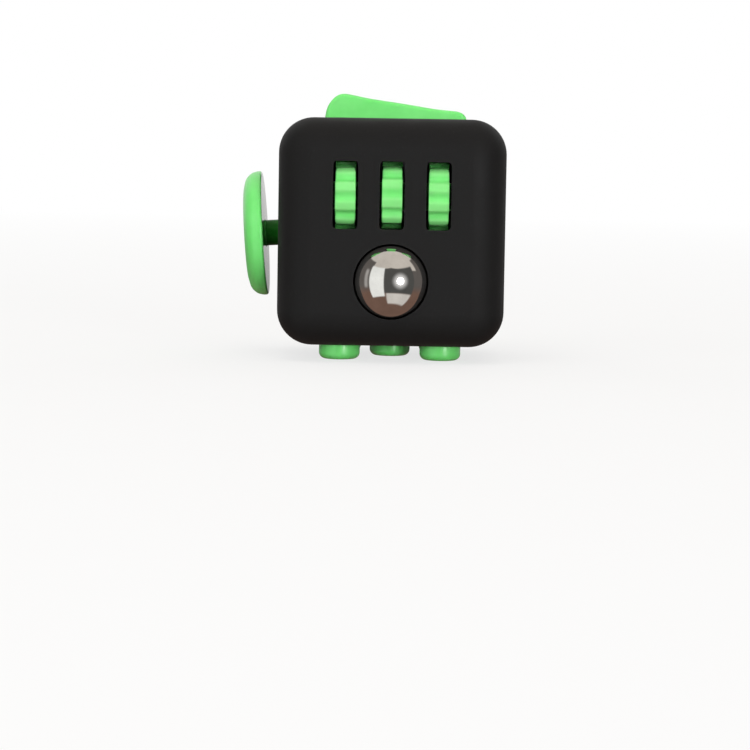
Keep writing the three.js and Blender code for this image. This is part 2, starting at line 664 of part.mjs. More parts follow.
function dialWasher() {
  const profile = [[1.0, 12.0], [4.0, 12.0], [4.0, 12.25], [1.0, 12.25], [1.0, 12.0]];
  return turned('y', profile, [0, 0, 0], 18);
}

add('spin_dial', spinDial(), GREEN);
add('dial_washer', dialWasher(), STEEL);
add('dial_screw', screw('y', -1, 11.95, 2.4, [0, 0], 0.65, 1.9), SCREW);

export default model;
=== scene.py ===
# Fidget cube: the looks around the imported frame. Front is -Y, right +X, top +Z.
# The front has three gears and a ball, the underside five buttons, the top a rocker,
# the left a joystick, the rear a dial and the right a thumb dish. The builders work in
# millimetres from the cube's centre; each finished mesh is moved to the row frame
# (metres, origin on the centre button's tip). Materials and lights are in metres.
import json
import math

import bmesh
import bpy
from mathutils import Matrix, Vector


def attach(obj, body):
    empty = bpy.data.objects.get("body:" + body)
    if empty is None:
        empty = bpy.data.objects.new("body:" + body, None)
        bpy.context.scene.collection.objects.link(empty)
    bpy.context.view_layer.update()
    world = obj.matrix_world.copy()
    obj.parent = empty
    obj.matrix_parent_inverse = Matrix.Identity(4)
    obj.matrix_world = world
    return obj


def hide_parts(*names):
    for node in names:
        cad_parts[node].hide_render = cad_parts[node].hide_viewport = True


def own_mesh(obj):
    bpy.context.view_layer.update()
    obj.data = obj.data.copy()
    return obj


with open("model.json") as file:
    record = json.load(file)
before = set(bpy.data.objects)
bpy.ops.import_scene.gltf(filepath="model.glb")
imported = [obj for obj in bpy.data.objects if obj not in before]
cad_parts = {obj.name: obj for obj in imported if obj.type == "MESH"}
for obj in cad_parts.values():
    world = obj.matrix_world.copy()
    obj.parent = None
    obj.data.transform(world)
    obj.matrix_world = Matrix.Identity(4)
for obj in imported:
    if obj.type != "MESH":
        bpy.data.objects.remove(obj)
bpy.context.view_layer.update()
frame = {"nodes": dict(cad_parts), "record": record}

MM = 0.001
CENTRE_Z = 18.8              # cube centre above the standing plane
HALF, EDGE_R = 16.5, 5.1     # outer half width and edge rounding
INNER, INNER_R = 14.5, 3.2   # inner half width and edge rounding
FRONT_WALL = 2.2
PART_Y = 12.2                # parting plane between casing and rear cover

SLOT_W, SLOT_H, SLOT_R, SLOT_Z = 3.6, 9.8, 0.62, 5.44
GEARS = {"left": (-6.7, 0.0), "middle": (0.0, 6.0), "right": (6.7, 0.0)}  # x, turn in degrees
GEAR_Y, GEAR_Z, GEAR_W = -12.3, 5.29, 2.95
GEAR_R, GEAR_VALLEY, TEETH = 5.0, 4.56, 11
BALL_Y, BALL_Z, BALL_R, SEAT_R = -13.5, -6.89, 6.0, 6.2
BUTTONS = {"front_left": (-7.4, -7.5), "front_right": (7.4, -7.5), "centre": (0, 0),
           "rear_left": (-7.4, 7.4), "rear_right": (7.4, 7.4)}
BUTTON_R, BUTTON_HOLE_R = 3.0, 3.25
ROCK_Z, ROCK_TILT, ROCK_HALF, ROCK_W = 13.0, 8.2, 10.3, 5.1   # ROCK_W is a half width
JOY_X, JOY_Z, JOY_TILT, JOY_R = -13.6, -0.4, 3.9, 9.22
DIAL_R = 10.0

rad = math.radians
TO_ROW = Matrix.Translation((0, 0, CENTRE_Z * MM)) @ Matrix.Scale(MM, 4)
ROCK = Matrix.Translation((0, 0, ROCK_Z)) @ Matrix.Rotation(rad(ROCK_TILT), 4, "Y")
JOY = Matrix.Translation((JOY_X, 0, JOY_Z)) @ Matrix.Rotation(rad(-JOY_TILT), 4, "Y")

# ---------------------------------------------------------- mesh helpers --

# Outline coordinates u, v and a place a along the named axis, as x, y, z
TO_XYZ = {"x": lambda u, v, a: (a, u, v),
          "y": lambda u, v, a: (u, a, v),
          "z": lambda u, v, a: (u, v, a)}
# Turns a shape made about Z to lie about the named axis
TURN = {"x": lambda x, y, z: (z, y, -x),
        "y": lambda x, y, z: (x, z, -y),
        "z": lambda x, y, z: (x, y, z)}


def linked(name, mesh):
    ob = bpy.data.objects.new(name, mesh)
    bpy.context.scene.collection.objects.link(ob)
    return ob


def from_bm(name, bm):
    mesh = bpy.data.meshes.new(name)
    bm.to_mesh(mesh)
    bm.free()
    return linked(name, mesh)


def from_faces(name, verts, faces):
    """An object whose faces all point outward."""
    mesh = bpy.data.meshes.new(name)
    mesh.from_pydata([tuple(v) for v in verts], [], [tuple(f) for f in faces])
    bm = bmesh.new()
    bm.from_mesh(mesh)
    bmesh.ops.recalc_face_normals(bm, faces=bm.faces)
    if bm.calc_volume(signed=True) < 0:
        bmesh.ops.reverse_faces(bm, faces=bm.faces)
    bm.to_mesh(mesh)
    bm.free()
    return linked(name, mesh)


def drop(ob):
    mesh = ob.data
    bpy.data.objects.remove(ob)
    bpy.data.meshes.remove(mesh)


def applied(ob):
    """The object with its modifiers applied."""
    graph = bpy.context.evaluated_depsgraph_get()
    graph.update()
    mesh = bpy.data.meshes.new_from_object(
        ob.evaluated_get(graph), preserve_all_data_layers=True, depsgraph=graph)
    old = ob.data
    ob.modifiers.clear()
    ob.data = mesh
    bpy.data.meshes.remove(old)
    return ob


def boolean(ob, parts, operation):
    """Joins or cuts with each part in turn, and uses the parts up."""
    for part in parts:
        mod = ob.modifiers.new("b", "BOOLEAN")
        mod.operation = operation
        mod.object = part
        mod.solver = "EXACT"
    applied(ob)
    for part in parts:
        drop(part)


def fillet(points, steps=6):
    """Rounds the corners of an open outline. A point is (u, v) or (u, v, radius)."""
    out = []
    for i, point in enumerate(points):
        radius = point[2] if len(point) > 2 else 0
        corner = Vector(point[:2])
        if radius <= 0 or i in (0, len(points) - 1):
            out.append(tuple(corner))
            continue
        before = Vector(points[i - 1][:2]) - corner
        after = Vector(points[i + 1][:2]) - corner
        len_before, len_after = before.length, after.length
        before.normalize()
        after.normalize()
        angle = math.acos(max(-1, min(1, before.dot(after))))
        if angle > math.pi - 1e-3:
            out.append(tuple(corner))
            continue
        trim = min(radius / math.tan(angle / 2), len_before * 0.499, len_after * 0.499)
        radius = trim * math.tan(angle / 2)
        centre = corner + (before + after).normalized() * (radius / math.sin(angle / 2))
        start, end = corner + before * trim - centre, corner + after * trim - centre
        sweep = math.pi - angle
        sign = 1 if start.x * end.y - start.y * end.x > 0 else -1
        for k in range(steps + 1):
            turn = sign * sweep * k / steps
            cos, sin = math.cos(turn), math.sin(turn)
            out.append((centre.x + start.x * cos - start.y * sin,
                        centre.y + start.x * sin + start.y * cos))
    return out


def row_faces(rows, segs):
    """Faces between rings of vertex numbers. A row of one vertex is a pole."""
    faces = []
    for a, b in zip(rows, rows[1:]):
        for k in range(segs):
            j = (k + 1) % segs
            if len(a) == 1:
                faces.append((a[0], b[k], b[j]))
            elif len(b) == 1:
                faces.append((a[k], b[0], a[j]))
            else:
                faces.append((a[k], b[k], b[j], a[j]))
    return faces


def lathe(name, profile, axis, at=(0, 0, 0), segs=96):
    """Revolves (radius, height) points that start and end on the axis."""
    verts, rows = [], []
    for r, height in profile:
        first = len(verts)
        if r < 1e-6:
            verts.append((0, 0, height))
        else:
            for k in range(segs):
                t = 2 * math.pi * k / segs
                verts.append((r * math.cos(t), r * math.sin(t), height))
        rows.append(range(first, len(verts)))
    verts = [tuple(c + shift for c, shift in zip(TURN[axis](*v), at)) for v in verts]
    return from_faces(name, verts, row_faces(rows, segs))


def outline_normals(points):
    count, out = len(points), []
    area = 0
    for i in range(count):
        p, q = points[i], points[(i + 1) % count]
        area += p[0] * q[1] - q[0] * p[1]
    sign = 1 if area > 0 else -1
    for i in range(count):
        a, b, c = Vector(points[i - 1]), Vector(points[i]), Vector(points[(i + 1) % count])
        d1, d2 = (b - a).normalized(), (c - b).normalized()
        n1, n2 = Vector((d1.y, -d1.x)) * sign, Vector((d2.y, -d2.x)) * sign
        mean = n1 + n2
        mean = mean.normalized() if mean.length > 1e-6 else n1
        out.append(mean / max(0.5, mean.dot(n1)))
    return out


def prism(name, outline, axis, start, end, roll=0, steps=4):
    """A closed outline pushed along an axis, with its rims rolled over at radius roll."""
    normals = outline_normals(outline)
    angles = [rad(90) * k / steps for k in range(steps + 1)] if roll > 0 else [0]
    rings = [(roll * (1 - math.cos(f)), start + roll - roll * math.sin(f))
             for f in reversed(angles)]
    rings += [(roll * (1 - math.cos(f)), end - roll + roll * math.sin(f)) for f in angles]
    verts, faces, count = [], [], len(outline)
    for inset, a in rings:
        for p, q in zip(outline, normals):
            verts.append(TO_XYZ[axis](p[0] - q.x * inset, p[1] - q.y * inset, a))
    for k in range(len(rings) - 1):
        for i in range(count):
            j = (i + 1) % count
            faces.append((k * count + i, k * count + j,
                          (k + 1) * count + j, (k + 1) * count + i))
    faces.append(tuple(range(count)))
    faces.append(tuple(range((len(rings) - 1) * count, len(rings) * count)))
    return from_faces(name, verts, faces)


def box(x0, x1, y0, y1, z0, z1):
    bm = bmesh.new()
    middle = Matrix.Translation(((x0 + x1) / 2, (y0 + y1) / 2, (z0 + z1) / 2))
    size = Matrix.Diagonal((x1 - x0, y1 - y0, z1 - z0, 1))
    bmesh.ops.create_cube(bm, size=1, matrix=middle @ size)
    return from_bm("cut", bm)


def round_box(x0, x1, y0, y1, z0, z1, radius, segments):
    ob = box(x0, x1, y0, y1, z0, z1)
    bm = bmesh.new()
    bm.from_mesh(ob.data)
    bmesh.ops.bevel(bm, geom=bm.edges[:], offset=radius, segments=segments, profile=0.5,
                    affect="EDGES")
    bm.to_mesh(ob.data)
    bm.free()
    return ob


def cylinder(axis, radius, start, end, centre=(0, 0), segs=48):
    points = []
    for k in range(segs):
        t = 2 * math.pi * k / segs
        points.append((centre[0] + radius * math.cos(t), centre[1] + radius * math.sin(t)))
    return prism("cut", points, axis, start, end)


def ellipsoid(radii, at, u=96, v=48):
    bm = bmesh.new()
    bmesh.ops.create_uvsphere(bm, u_segments=u, v_segments=v, radius=1,
                              matrix=Matrix.Translation(at) @ Matrix.Diagonal((*radii, 1)))
    return from_bm("cut", bm)


def rounded_rect(half_w, half_h, radius, seg, cx=0, cy=0):
    points = []
    for sx, sy, first in ((1, 1, 0), (-1, 1, 90), (-1, -1, 180), (1, -1, 270)):
        for i in range(seg + 1):
            a = rad(first + 90 * i / seg)
            points.append((cx + sx * (half_w - radius) + radius * math.cos(a),
                           cy + sy * (half_h - radius) + radius * math.sin(a)))
    return points


def spline(points, steps):
    """Catmull-Rom through the points, with the given steps a span."""
    out = []
    p = [Vector(q) for q in points]
    p = [2 * p[0] - p[1]] + p + [2 * p[-1] - p[-2]]
    for i in range(1, len(p) - 2):
        a, b, c, d = p[i - 1:i + 3]
        for k in range(steps):
            t = k / steps
            out.append(tuple(0.5 * ((2 * b) + (c - a) * t + (2 * a - 5 * b + 4 * c - d) * t * t
                                    + (3 * b - a - 3 * c + d) * t ** 3)))
    out.append(tuple(p[-2]))
    return out


def round_edges(ob, test, width, segments, min_angle):
    """Rounds the sharp edges whose ends and midpoint all pass the test."""
    bm = bmesh.new()
    bm.from_mesh(ob.data)
    layers, name = bm.edges.layers.float, "bevel_weight_edge"
    layer = layers.get(name) or layers.new(name)
    for e in bm.edges:
        e[layer] = 0.0
        if len(e.link_faces) == 2 and e.calc_face_angle(0) > rad(min_angle):
            a, b = e.verts
            if test(a.co) and test(b.co) and test((a.co + b.co) / 2):
                e[layer] = 1.0
    bm.to_mesh(ob.data)
    bm.free()
    mod = ob.modifiers.new("bev", "BEVEL")
    mod.width = width
    mod.segments = segments
    mod.limit_method = "WEIGHT"
    mod.profile = 0.5
    mod.miter_outer = "MITER_ARC"
    mod.use_clamp_overlap = True
    applied(ob)


def shade(ob, angle):
    """Smooth faces with crisp true edges and normals that follow the large faces."""
    bm = bmesh.new()
    bm.from_mesh(ob.data)
    bmesh.ops.remove_doubles(bm, verts=bm.verts, dist=1e-5)
    bmesh.ops.dissolve_degenerate(bm, dist=1e-5, edges=bm.edges)
    for f in bm.faces:
        f.smooth = True
    for e in bm.edges:
        e.smooth = not (len(e.link_faces) == 2 and e.calc_face_angle(0) > rad(angle))
    bm.to_mesh(ob.data)
    bm.free()
    mod = ob.modifiers.new("wn", "WEIGHTED_NORMAL")
    mod.mode = "FACE_AREA_WITH_ANGLE"
    mod.weight = 50
    mod.keep_sharp = True
    applied(ob)


def place(ob, node, body, material, matrix=None, angle=38):
    """Finishes a piece: normals, row frame, material, and the node it stands for."""
    if matrix is not None:
        ob.data.transform(matrix)
    shade(ob, angle)
    ob.data.transform(TO_ROW)
    ob.name = ob.data.name = node + "_skin"
    ob.data.materials.clear()
    ob.data.materials.append(MATERIALS[material])
    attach(ob, body)
    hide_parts(node)


# --------------------------------------------------------------- materials --

NOISE_SPAN = (0.3, 0.7)      # where most noise values lie


class Graph:
    """Adds and links shader nodes in one tree."""

    def __init__(self, tree):
        self.tree = tree
        tree.nodes.clear()

    def add(self, kind, sockets=None, **props):
        node = self.tree.nodes.new(kind)
        for key, value in props.items():
            setattr(node, key, value)
        for key, value in (sockets or {}).items():
            self.feed(node.inputs[key], value)
        return node

    def feed(self, socket, value):
        """Sets a socket to a number or tuple, or links it. None leaves it alone."""
        if isinstance(value, (int, float)):
            socket.default_value = value
        elif isinstance(value, tuple):
            rgb = len(value) == 3 and socket.type == "RGBA"
            socket.default_value = (*value, 1) if rgb else value
        elif value is not None:
            self.tree.links.new(value, socket)

    def remap(self, value, src=NOISE_SPAN, to=(0, 1), kind="LINEAR"):
        return self.add("ShaderNodeMapRange", {
            "From Min": src[0], "From Max": src[1], "To Min": to[0], "To Max": to[1],
            "Value": value}, interpolation_type=kind).outputs[0]

    def mix(self, factor, a, b):
        return self.add("ShaderNodeMix", {0: factor, 6: a, 7: b}, data_type="RGBA").outputs[2]

    def math(self, operation, a, b=None):
        return self.add("ShaderNodeMath", {0: a, 1: b}, operation=operation).outputs[0]

    def length(self, a, b):
        """Root of the sum of two squares."""
        return self.math("SQRT", self.math("ADD", self.math("MULTIPLY", a, a),
                                           self.math("MULTIPLY", b, b)))


class Finish(Graph):
    """A material with one Principled shader and object coordinates."""

    def __init__(self, name):
        self.mat = bpy.data.materials.new(name)
        self.mat.use_nodes = True
        super().__init__(self.mat.node_tree)
        self.out = self.add("ShaderNodeOutputMaterial")
        self.bsdf = self.add("ShaderNodeBsdfPrincipled")
        self.feed(self.out.inputs["Surface"], self.bsdf.outputs[0])
        self.coords = self.add("ShaderNodeTexCoord").outputs["Object"]

    def noise(self, scale, detail=3, rough=0.55, distortion=0.0, coords=None):
        return self.add("ShaderNodeTexNoise", {
            "Scale": scale, "Detail": detail, "Roughness": rough, "Distortion": distortion,
            "Vector": coords or self.coords}).outputs["Fac"]

    def bump(self, height, strength, depth, under=None):
        return self.add("ShaderNodeBump", {"Strength": strength, "Distance": depth,
                                           "Height": height, "Normal": under}).outputs[0]

    def worn(self, base, colour, amount, radius=0.0002):
        """Mixes a colour in on corners tighter than radius."""
        bevel = self.add("ShaderNodeBevel", {"Radius": radius}, samples=4)
        true = self.add("ShaderNodeNewGeometry")
        dot = self.add("ShaderNodeVectorMath", {0: bevel.outputs[0], 1: true.outputs["Normal"]},
                       operation="DOT_PRODUCT")
        bend = self.math("SUBTRACT", 1.0, dot.outputs["Value"])
        edge = self.remap(bend, src=(0.004, 0.35))
        return self.mix(self.math("MULTIPLY", edge, amount), base, colour)

    def set(self, **values):
        for key, value in values.items():
            self.feed(self.bsdf.inputs[key.replace("_", " ")], value)


def black_plastic():
    f = Finish("soft_black_plastic")
    cloud = f.noise(scale=260, detail=4, rough=0.6)    # handling sheen, millimetres across
    grain = f.noise(scale=9000, detail=2, rough=0.6)   # moulded grain
    speck = f.noise(scale=2600, detail=2, rough=0.5)
    base = f.mix(f.remap(cloud), (0.0056, 0.0056, 0.0060), (0.0082, 0.0080, 0.0082))
    base = f.mix(f.remap(speck, src=(0.62, 0.75), to=(0, 0.35)), base, (0.016, 0.016, 0.017))
    base = f.worn(base, (0.026, 0.026, 0.027), amount=0.35, radius=0.00022)
    rough = f.math("ADD", f.remap(cloud, to=(0.58, 0.7)), f.remap(grain, to=(-0.04, 0.04)))
    normal = f.bump(grain, strength=0.16, depth=0.00003)
    normal = f.bump(cloud, strength=0.05, depth=0.0001, under=normal)
    f.set(Base_Color=base, Roughness=rough, Normal=normal, Specular_IOR_Level=0.2,
          Sheen_Weight=0.015, Sheen_Roughness=0.5)
    return f.mat


def hollows(f, src, reach):
    """Occlusion mask for painted shade: 1 in the recesses, 0 on open faces."""
    shadow = f.add("ShaderNodeAmbientOcclusion", {"Distance": reach})
    shadow.samples = 6
    return f.remap(shadow.outputs["AO"], src=src, to=(1, 0))


def dulled(f, painted_shade, coat):
    """Shader inputs that lose their shine where shade is painted."""
    return {"Specular_IOR_Level": f.remap(painted_shade, src=(0, 1), to=(0.5, 0.08)),
            "Coat_Weight": f.math("MULTIPLY", f.remap(painted_shade, src=(0, 1), to=(1, 0)), coat)}


def gear_painted_light(f, base):
    """Painted highlight on the crests, found by distance from the axle, and painted shade with
    less shine in the valleys and recesses.
    """
    xyz = f.add("ShaderNodeSeparateXYZ", {0: f.coords})
    dy = f.math("SUBTRACT", xyz.outputs[1], GEAR_Y * MM)
    dz = f.math("SUBTRACT", xyz.outputs[2], (CENTRE_Z + GEAR_Z) * MM)
    # painted highlight: the crests are lightened toward a pale green by their distance from the
    # axle
    crest = f.remap(f.length(dy, dz), src=((GEAR_R - 0.3) * MM, (GEAR_R - 0.02) * MM),
                    to=(0, 0.42))
    base = f.mix(crest, base, (0.36, 0.86, 0.33))
    # painted shade: ambient occlusion within 4 mm marks the recesses, which are darkened to near
    # black green and lose their shine
    painted_shade = hollows(f, src=(0.18, 0.34), reach=0.004)
    return f.mix(painted_shade, base, (0.0008, 0.018, 0.0008)), dulled(f, painted_shade, coat=0.22)


def stick_painted_shade_and_polish(f, base):
    """Painted shade on the stem only, and polish on the disc's flat inner face."""
    stem = (5.05 * MM, 5.15 * MM)        # painted shade ends here, along the stick from its pivot
    polish = (5.30 * MM, 5.42 * MM)      # polish ends here
    # painted shade: ambient occlusion within 10 mm, kept to the stem, darkens it
    painted_shade = hollows(f, src=(0.30, 0.72), reach=0.010)
    xyz = f.add("ShaderNodeSeparateXYZ", {0: f.coords})
    dx = f.math("SUBTRACT", xyz.outputs[0], JOY_X * MM)
    along = f.math("MULTIPLY", dx, -math.cos(rad(JOY_TILT)))
    dz = f.math("SUBTRACT", xyz.outputs[2], (CENTRE_Z + JOY_Z) * MM)
    along = f.math("ADD", along, f.math("MULTIPLY", dz, -math.sin(rad(JOY_TILT))))
    painted_shade = f.math("MULTIPLY", painted_shade, f.remap(along, src=stem, to=(1, 0)))
    coat = f.remap(along, src=polish, to=(1.0, 0.22))
    shine = dulled(f, painted_shade, coat)
    shine["Coat_Roughness"] = f.remap(along, src=polish, to=(0.03, 0.12))
    # the stem is darkened to dark green as painted shade; the coat polish above is the disc's real
    # finish
    return f.mix(painted_shade, base, (0.0005, 0.15, 0.0005)), shine


def green_plastic(name, painted_light_and_polish=None):
    f = Finish(name)
    cloud = f.noise(scale=330)
    fine = f.noise(scale=7000, detail=2, rough=0.5)
    wear = f.noise(scale=1500, rough=0.6, distortion=0.6)
    base = f.mix(f.remap(cloud), (0.168, 0.80, 0.178), (0.202, 0.86, 0.212))
    base = f.worn(base, (0.34, 0.92, 0.35), amount=0.3)
    shine = {}
    # gears get painted highlight and painted shade here, the stick painted shade plus a real coat
    # polish
    if painted_light_and_polish:
        base, shine = painted_light_and_polish(f, base)
    rough = f.math("ADD", f.remap(cloud, to=(0.3, 0.4)),
                   f.remap(wear, src=(0.5, 0.75), to=(0.0, 0.12)))
    f.set(Base_Color=base, Roughness=rough, Normal=f.bump(fine, strength=0.08, depth=0.00002),
          Specular_IOR_Level=0.5, Coat_Weight=0.22, Coat_Roughness=0.12,
          Subsurface_Weight=0.22, Subsurface_Radius=(0.25, 1.0, 0.3), Subsurface_Scale=0.0007)
    f.set(**shine)
    return f.mat


def metal(name, colour, rough, scratch, size, smear):
    """Fine lines drawn out along Z over a cloudy sheen."""
    f = Finish(name)
    stretched = f.add("ShaderNodeMapping", {"Scale": (1, 1, 0.12), "Vector": f.coords})
    lines = f.noise(scale=size, rough=0.7, coords=stretched.outputs[0])
    cloud = f.noise(scale=420, detail=4, rough=0.6)
    dark = tuple(c * 0.86 for c in colour)
    base = f.mix(f.remap(cloud, src=(0.35, 0.7)), colour, dark)
    rough = f.math("ADD", f.remap(cloud, src=(0.35, 0.75), to=(rough, rough + smear)),
                   f.remap(lines, src=(0.5, 0.8), to=(0, smear)))
    f.set(Base_Color=base, Roughness=rough, Metallic=1.0,
          Normal=f.bump(lines, strength=scratch, depth=0.00001))
    return f.mat


def moulding(name, dark, light, rough, glow=0.0):
    """Matt plastic between two tones. Glow is the subsurface weight."""
    f = Finish(name)
    cloud = f.noise(scale=300)
    fine = f.noise(scale=6000, detail=2)
    base = f.mix(f.remap(cloud), dark, light)
    base = f.worn(base, tuple(min(1, 1.5 * c + 0.03) for c in light), amount=0.25)
    rough = f.math("ADD", f.remap(cloud, to=(rough - 0.05, rough + 0.05)),
                   f.remap(fine, to=(-0.03, 0.03)))
    f.set(Base_Color=base, Roughness=rough, Normal=f.bump(fine, strength=0.12, depth=0.00003))
    if glow:
        f.set(Subsurface_Weight=glow, Subsurface_Radius=(1, 1, 1), Subsurface_Scale=0.001)
    return f.mat


MATERIALS = {
    "black_plastic": black_plastic(),
    "green_plastic": green_plastic("green_satin_plastic"),
    "green_gear": green_plastic("green_gear_plastic", gear_painted_light),
    "green_stick": green_plastic("green_stick_plastic", stick_painted_shade_and_polish),
    "polished_steel": metal("polished_ball_steel", (0.62, 0.605, 0.585),
                            rough=0.045, scratch=0.015, size=3500, smear=0.02),
    "pin_steel": metal("ground_pin_steel", (0.56, 0.56, 0.57),
                       rough=0.22, scratch=0.12, size=2500, smear=0.08),
    "spring_steel": metal("drawn_spring_wire", (0.5, 0.5, 0.52),
                          rough=0.28, scratch=0.12, size=3500, smear=0.1),
    "screw_steel": metal("plated_screw_steel", (0.42, 0.42, 0.44),
                         rough=0.34, scratch=0.15, size=3000, smear=0.1),
    "grey_plastic": moulding("dark_grey_moulding", (0.045, 0.046, 0.05),
                             (0.06, 0.061, 0.066), rough=0.55),
    "white_plastic": moulding("acetal_moulding", (0.70, 0.69, 0.65),
                              (0.78, 0.77, 0.73), rough=0.42, glow=0.15),
    "silicone": moulding("silicone_pad", (0.5, 0.52, 0.52),
                         (0.6, 0.62, 0.62), rough=0.6, glow=0.3),
}

# -------------------------------------------------------- casing and cover --

OVER = 0.2                   # how far cutters run past the inner walls
ROOT = 0.5                   # how far added pieces sink into the walls
PILOT_R = 0.75               # narrow blind holes
RIM_R = 0.14                 # rounding of outer rims
DISH_RADII, DISH_BACK_RADII = (2.2, 10.2, 8.2), (3.7, 11.2, 9.6)
DISH_ZONE = (11.2, 9.5)      # half y and half z around the dish
AXLE_WALLS = ((-10.7, -9.3), (-4.1, -2.6), (2.6, 4.1), (9.3, 10.7))   # x from, x to
AXLE_R, AXLE_END = 1.14, 11.2
GEAR_POST_X, TOP_BOSS_Y = 12.3, 9.0
POST_R = 1.9
PEGS = ((-12.7, 12.0, 6.0), (12.7, 12.0, 6.0),       # x, z, front end y
        (-12.6, -6.0, 8.4), (12.6, -6.0, 8.4))
LOW_TOP = -10.3              # top of the blocks and boss on the bottom wall
LOW_BOSS = (0, 8.6)
JOY_HOLE_R, JOY_RECESS_R, JOY_PILOT = 3.0, 5.3, 6.1


def outside(p, tol=0.03):
    """Distance test: is the point on the outer surface of the rounded cube?"""
    q = [max(abs(c) - (HALF - EDGE_R), 0) for c in p]
    if max(q) == 0:
        return False
    return abs(math.sqrt(sum(c * c for c in q)) - EDGE_R) < tol


def by_dish(p, depth):
    return p.x > HALF - depth and abs(p.y) < DISH_ZONE[0] and abs(p.z) < DISH_ZONE[1]


def outer_block():
    return round_box(-HALF, HALF, -HALF, HALF, -HALF, HALF, EDGE_R, 14)


def casing_adds():
    """The dish's backing and the walls, posts and blocks inside the casing."""
    backing = ellipsoid(DISH_BACK_RADII, (HALF + 0.2, 0, 0), 64, 32)
    boolean(backing, [box(10, HALF - 1.0, -11, 11, -9, 9)], "INTERSECT")
    adds = [backing]
    for x0, x1 in AXLE_WALLS:
        adds.append(box(x0, x1, -HALF + 1, -11.0, GEAR_Z - 2.0, GEAR_Z + 2.0))
    for side in (-1, 1):
        adds.append(cylinder("y", POST_R, -HALF + 1, -7.0, (side * GEAR_POST_X, GEAR_Z), 32))
        adds.append(cylinder("z", 1.7, 13.95, INNER + ROOT, (0, side * TOP_BOSS_Y), 32))
    adds.append(cylinder("y", 7.0, -HALF + 1, -13.2, (0, BALL_Z), 64))   # behind the ball seat
    for x, z, y0 in PEGS:
        # posts at the sides, tied to the side wall and, at the top, to the top wall
        wall = math.copysign(INNER + 0.6, x)
        adds.append(cylinder("y", POST_R, y0, PART_Y, (x, z), 32))
        adds.append(box(min(x, wall), max(x, wall), y0, PART_Y, z - 1.6, z + 1.6))
        if z > 0:
            adds.append(box(x - 1.6, x + 1.6, y0, PART_Y, z, INNER + 0.4))
    for x0, x1 in ((-INNER - ROOT, -11.5), (11.5, INNER + ROOT)):
        adds.append(box(x0, x1, -2.6, 0.6, -INNER - ROOT, LOW_TOP))
    adds.append(cylinder("z", 1.5, -INNER - ROOT, LOW_TOP, LOW_BOSS, 32))
    return adds


def openings():
    """Cutters for the holes through the outer walls."""
    cuts = []
    for x, _ in GEARS.values():
        slot = rounded_rect(SLOT_W / 2, SLOT_H / 2, SLOT_R, 8, x, SLOT_Z)
        cuts.append(prism("cut", slot, "y", -HALF - 1, -HALF + FRONT_WALL + OVER))
    cuts.append(ellipsoid((SEAT_R,) * 3, (0, BALL_Y, BALL_Z), 128, 64))
    for at in BUTTONS.values():
        cuts.append(cylinder("z", BUTTON_HOLE_R, -HALF - 1, -INNER + OVER, at, 80))
    top = rounded_rect(11.0, 5.5, 1.5, 10)
    cuts.append(prism("cut", top, "z", INNER - OVER, HALF + 1))
    cuts.append(cylinder("x", JOY_HOLE_R, -HALF - 1, -INNER + OVER, (0, JOY_Z), 72))
    return cuts


def inner_cuts():
    """Cutters for the joystick's recess, the axle groove and the blind holes."""
    cuts = [cylinder("x", JOY_RECESS_R, -15.7, -INNER + OVER, (0, JOY_Z), 48),
            cylinder("x", AXLE_R, -AXLE_END, AXLE_END, (GEAR_Y, GEAR_Z), 24),
            box(-AXLE_END, AXLE_END, GEAR_Y, -10.8, GEAR_Z - AXLE_R, GEAR_Z + AXLE_R),
            cylinder("z", PILOT_R, -14.2, -10.2, LOW_BOSS, 20)]
    for side in (-1, 1):
        joy_at = (JOY_PILOT, JOY_Z + side * JOY_PILOT)
        cuts += [cylinder("y", PILOT_R, -13.2, -6.9, (side * GEAR_POST_X, GEAR_Z), 20),
                 cylinder("z", PILOT_R, -14.2, -10.2, (side * 12.75, -1.0), 20),
                 cylinder("z", PILOT_R, 13.8, 15.9, (0, side * TOP_BOSS_Y), 20),
                 cylinder("x", PILOT_R, -16.0, -INNER + OVER, joy_at, 20)]
    cuts += [cylinder("y", 1.25, y0 + 0.8, PART_Y + 1, (x, z), 24) for x, z, y0 in PEGS]
    return cuts


def casing():
    ob = outer_block()
    boolean(ob, [box(-20, 20, PART_Y, 20, -20, 20)], "DIFFERENCE")
    # the thumb dish first, with a soft rim of its own
    boolean(ob, [ellipsoid(DISH_RADII, (HALF + 0.3, 0, 0))], "DIFFERENCE")
    round_edges(ob, lambda p: by_dish(p, 0.02), 0.55, 5, 12)
    hollow = round_box(-INNER, INNER, -(HALF - FRONT_WALL), 24, -INNER, INNER, INNER_R, 4)
    boolean(ob, [hollow], "DIFFERENCE")
    boolean(ob, casing_adds(), "UNION")
    boolean(ob, openings(), "DIFFERENCE")
    boolean(ob, inner_cuts(), "DIFFERENCE")
    # crisp but rounded rims on every opening and on the parting line
    round_edges(ob, lambda p: outside(p) and not by_dish(p, 0.6), RIM_R, 3, 32)
    place(ob, "body_shell", "casing", "black_plastic")


def cover():
    ob = outer_block()
    boolean(ob, [box(-20, 20, -20, PART_Y + 0.05, -20, 20)], "DIFFERENCE")
    boolean(ob, [round_box(-INNER, INNER, 2, 13.9, -INNER, INNER, INNER_R, 4)], "DIFFERENCE")
    adds = [cylinder("y", 4.4, 12.7, 14.4)]
    for x, z, y0 in PEGS:
        profile = [(0, y0 + 1.3), (0.85, y0 + 1.3, 0.25), (1.05, 14.4), (0, 14.4)]
        adds.append(lathe("peg", fillet(profile, 4), "y", (x, 0, z), 32))
    boolean(ob, adds, "UNION")
    # the dial's recess and the hole for its stem
    boolean(ob, [cylinder("y", DIAL_R + 0.35, 15.0, 18, segs=128),
                 cylinder("y", 2.7, 12, 16)], "DIFFERENCE")
    round_edges(ob, outside, RIM_R, 3, 32)
    place(ob, "rear_cover", "casing", "black_plastic")


# ---------------------------------------------------------- gears and ball --

TOOTH_STEPS = 24
CREST, FLANK = 0.15, 0.33    # half crest and flank, in tooth pitches
HUB_R, HUB_HALF, BORE_R = 2.0, 2.3, 1.25


